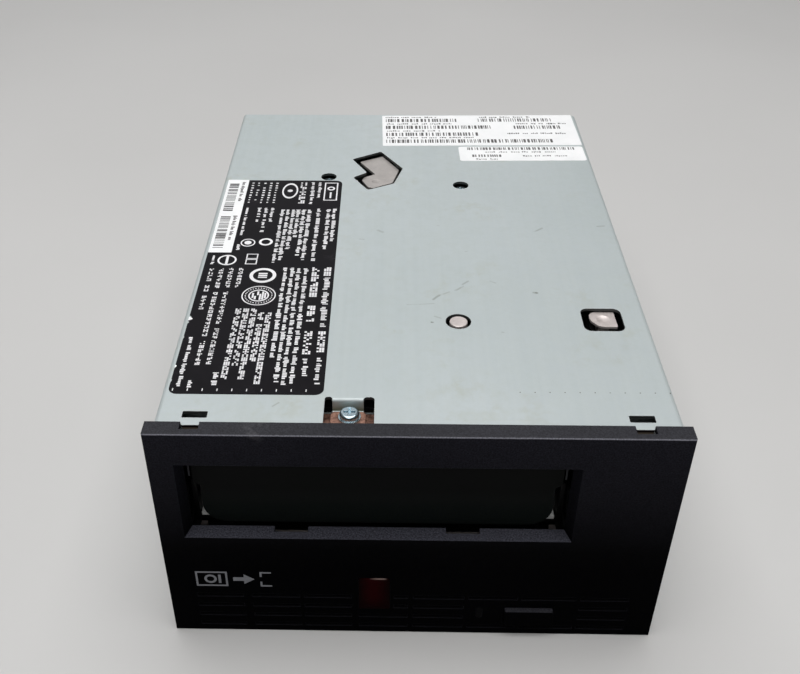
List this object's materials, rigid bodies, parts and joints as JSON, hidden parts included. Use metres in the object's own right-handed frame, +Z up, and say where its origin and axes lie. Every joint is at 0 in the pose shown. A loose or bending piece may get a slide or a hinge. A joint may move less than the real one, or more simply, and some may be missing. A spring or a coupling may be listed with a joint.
{
  "type": "data tape drive",
  "caption": "Full-height internal cartridge tape drive: steel box, black front panel with a wide mouth and dust door, red window, eject button, loader, reels and head inside.",
  "frame": {"origin": "centre of the footprint to within a millimetre, on the plane the drive stands on", "axes": "+X across the drive, +Y from the front panel to the rear connectors, +Z up"},
  "size_m": [0.1498, 0.2125, 0.0832],
  "materials": {
    "cover_steel": "satin zinc-plated sheet",
    "chassis_steel": "satin zinc-plated sheet",
    "bezel_plastic": "fine grained moulding",
    "door_plastic": "smooth moulding",
    "red_window": "tinted clear plastic",
    "display_black": "epoxy block",
    "light_pipe": "smoked clear plastic",
    "spring_steel": "drawn wire",
    "board_green": "solder mask",
    "zinc_screw": "bright blue zinc",
    "copper_alloy": "dull copper alloy",
    "black_steel": "black coated sheet",
    "bare_steel": "bare sheet",
    "cast_aluminium": "as cast and machined",
    "rubber_black": "moulded",
    "connector_black": "moulded",
    "connector_white": "moulded",
    "white_plastic": "moulded",
    "gear_plastic": "moulded",
    "black_acetal": "moulded",
    "motor_steel": "plated",
    "copper_winding": "enamelled winding",
    "reel_plastic": "moulded",
    "ceramic_head": "lapped"
  },
  "bodies": {
    "drive": {"top_cover": "cover_steel", "base_chassis": "chassis_steel", "rear_panel": "chassis_steel", "front_bezel": "bezel_plastic", "display_window": "red_window", "display_module": "display_black", "status_light": "light_pipe", "button_spring": "spring_steel", "panel_board": "board_green", "door_springs": "spring_steel", "cover_screw": "zinc_screw", "earth_clip": "copper_alloy", "upper_frame": "black_steel", "chevron_pad": "bare_steel", "guide_boss": "bare_steel", "spring_tab": "bare_steel", "frame_screws": "zinc_screw", "frame_posts": "bare_steel", "deck_plate": "cast_aluminium", "deck_isolators": "rubber_black", "chassis_posts": "bare_steel", "main_board": "board_green", "board_screws": "zinc_screw", "data_connector": "connector_black", "power_connector": "connector_white", "loader_frame_left": "chassis_steel", "loader_frame_right": "chassis_steel", "loader_motor": "motor_steel", "supply_stator": "copper_winding", "take_up_stator": "copper_winding", "deck_pins": "bare_steel", "head_stepper": "motor_steel", "threader_bracket": "bare_steel", "threader_motor": "motor_steel"},
    "door": {"dust_door": "door_plastic"},
    "button": {"eject_button": "bezel_plastic"},
    "loader_cam": {"cam_plate_left": "black_acetal", "cam_plate_right": "black_acetal", "cam_cross_bar": "bare_steel"},
    "tray": {"tray_pan": "black_steel", "tray_guide_left": "white_plastic", "tray_guide_right": "white_plastic", "tray_top_plate": "bare_steel", "tray_pins": "bare_steel"},
    "loader_gear": {"drive_gear": "gear_plastic"},
    "loader_pinion": {"motor_pinion": "gear_plastic"},
    "supply_hub": {"supply_rotor": "motor_steel", "supply_clutch": "gear_plastic"},
    "take_up": {"take_up_rotor": "motor_steel", "take_up_reel": "reel_plastic"},
    "roller_1": {"guide_roller_1": "bare_steel"},
    "roller_2": {"guide_roller_2": "bare_steel"},
    "roller_3": {"guide_roller_3": "bare_steel"},
    "roller_4": {"guide_roller_4": "bare_steel"},
    "head": {"head_carriage": "cast_aluminium", "head_core": "ceramic_head"},
    "lead_screw": {"head_lead_screw": "bare_steel"},
    "threader": {"threading_arm": "gear_plastic", "pin_grabber": "bare_steel"},
    "threader_gear": {"threader_pinion": "gear_plastic"}
  },
  "joints": [
    {"name": "door_hinge", "type": "hinge", "parent": "drive", "child": "door", "pos_m": [-0.0112, -0.0949, 0.0722], "axis": [1, 0, 0], "range_deg": [0, 84]},
    {"name": "eject_button_press", "type": "slide", "parent": "drive", "child": "button", "axis": [0, 1, 0], "range_m": [0, 0.0015], "stiffness_N_per_m": 600, "springref_m": -0.0008, "deforming": ["button_spring"]},
    {"name": "loader_slide", "type": "slide", "parent": "drive", "child": "loader_cam", "axis": [0, 1, 0], "range_m": [0, 0.02]},
    {"name": "tray_drop", "type": "slide", "parent": "drive", "child": "tray", "axis": [0, 0, -1], "range_m": [0, 0.009]},
    {"name": "loader_gear_spin", "type": "hinge", "parent": "drive", "child": "loader_gear", "pos_m": [0.052, -0.046, 0.0304], "axis": [1, 0, 0], "range_deg": [-206, 0.5]},
    {"name": "loader_pinion_spin", "type": "hinge", "parent": "drive", "child": "loader_pinion", "pos_m": [0.052, -0.062, 0.0304], "axis": [1, 0, 0], "range_deg": [-1, 616]},
    {"name": "supply_hub_spin", "type": "hinge", "parent": "drive", "child": "supply_hub", "pos_m": [-0.011, -0.042, 0.026], "axis": [0, 0, 1], "continuous": true},
    {"name": "take_up_spin", "type": "hinge", "parent": "drive", "child": "take_up", "pos_m": [-0.014, 0.057, 0.044], "axis": [0, 0, 1], "continuous": true},
    {"name": "roller_1_spin", "type": "hinge", "parent": "drive", "child": "roller_1", "pos_m": [0.038, 0.0175, 0.0444], "axis": [0, 0, 1], "continuous": true},
    {"name": "roller_2_spin", "type": "hinge", "parent": "drive", "child": "roller_2", "pos_m": [0.0455, 0.029, 0.0444], "axis": [0, 0, 1], "continuous": true},
    {"name": "roller_3_spin", "type": "hinge", "parent": "drive", "child": "roller_3", "pos_m": [0.0455, 0.053, 0.0444], "axis": [0, 0, 1], "continuous": true},
    {"name": "roller_4_spin", "type": "hinge", "parent": "drive", "child": "roller_4", "pos_m": [0.0385, 0.063, 0.0444], "axis": [0, 0, 1], "continuous": true},
    {"name": "head_lift", "type": "slide", "parent": "drive", "child": "head", "axis": [0, 0, 1], "range_m": [-0.004, 0.004]},
    {"name": "lead_screw_spin", "type": "hinge", "parent": "drive", "child": "lead_screw", "pos_m": [0.0375, 0.041, 0.044], "axis": [0, 0, 1], "range_deg": [-1445, 1445]},
    {"name": "threading_arm_swing", "type": "hinge", "parent": "drive", "child": "threader", "pos_m": [0.0193, 0.041, 0.058], "axis": [0, 0, 1], "range_deg": [-12, 118]},
    {"name": "threader_pinion_spin", "type": "hinge", "parent": "drive", "child": "threader_gear", "pos_m": [-0.0047, 0.041, 0.0617], "axis": [0, 0, 1], "range_deg": [-473, 49]}
  ],
  "couplings": [
    {"joint": "tray_drop", "follows": "loader_slide", "ratio": 0.45},
    {"joint": "loader_gear_spin", "follows": "loader_slide", "rad_per_m": -178.57},
    {"joint": "loader_pinion_spin", "follows": "loader_slide", "rad_per_m": 535.71},
    {"joint": "lead_screw_spin", "follows": "head_lift", "rad_per_m": 6283.2},
    {"joint": "threader_pinion_spin", "follows": "threading_arm_swing", "ratio": -4}
  ]
}
